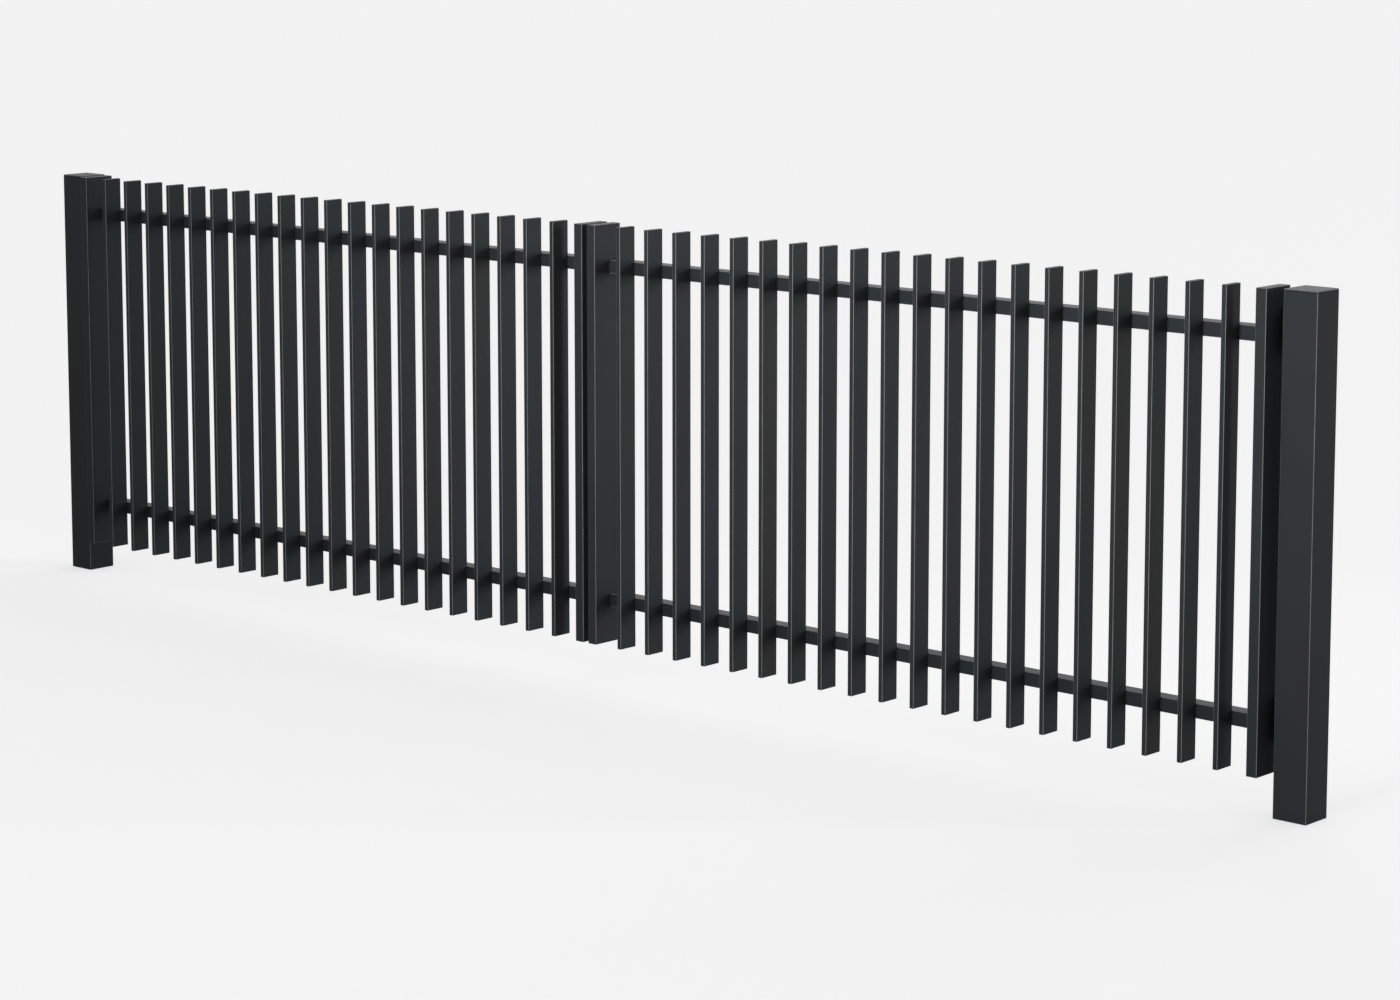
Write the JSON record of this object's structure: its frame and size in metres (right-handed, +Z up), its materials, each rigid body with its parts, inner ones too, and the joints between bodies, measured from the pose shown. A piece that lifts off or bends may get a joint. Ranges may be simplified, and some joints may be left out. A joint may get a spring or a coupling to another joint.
{
  "type": "double-leaf driveway gate",
  "caption": "Straight-topped double swing gate for a driveway: square posts with flat caps and leaves of upright metal slats set on edge on horizontal rails.",
  "frame": {"origin": "on the ground, at the middle of the left post's foot", "axes": "+X along the closed gate to the right post, +Y to the side the leaves open to, +Z up"},
  "size_m": [4.962, 0.13, 1.355],
  "materials": {
    "frame": "satin anthracite powder coat",
    "end_caps": "moulded plastic in the coat's colour",
    "hinges": "satin powder coat, bare steel pin"
  },
  "bodies": {
    "posts": {"left_post": "frame", "right_post": "frame", "left_post_cap": "end_caps", "right_post_cap": "end_caps", "left_upper_hinge_pin": "hinges", "left_lower_hinge_pin": "hinges", "right_upper_hinge_pin": "hinges", "right_lower_hinge_pin": "hinges"},
    "left_leaf": {"left_hinge_stile": "frame", "left_meeting_stile": "frame", "left_upper_rail": "frame", "left_lower_rail": "frame", "left_slats": "frame", "left_slat_caps": "end_caps", "left_stile_caps": "end_caps", "left_upper_hinge_knuckle": "hinges", "left_lower_hinge_knuckle": "hinges"},
    "right_leaf": {"right_hinge_stile": "frame", "right_meeting_stile": "frame", "right_upper_rail": "frame", "right_lower_rail": "frame", "right_slats": "frame", "right_slat_caps": "end_caps", "right_stile_caps": "end_caps", "right_upper_hinge_knuckle": "hinges", "right_lower_hinge_knuckle": "hinges"}
  },
  "joints": [
    {"name": "left_leaf_swing", "type": "hinge", "parent": "posts", "child": "left_leaf", "pos_m": [0.065, 0.025, 0.73], "axis": [0, 0, 1], "range_deg": [0, 90]},
    {"name": "right_leaf_swing", "type": "hinge", "parent": "posts", "child": "right_leaf", "pos_m": [4.797, 0.025, 0.73], "axis": [0, 0, -1], "range_deg": [0, 90]}
  ]
}
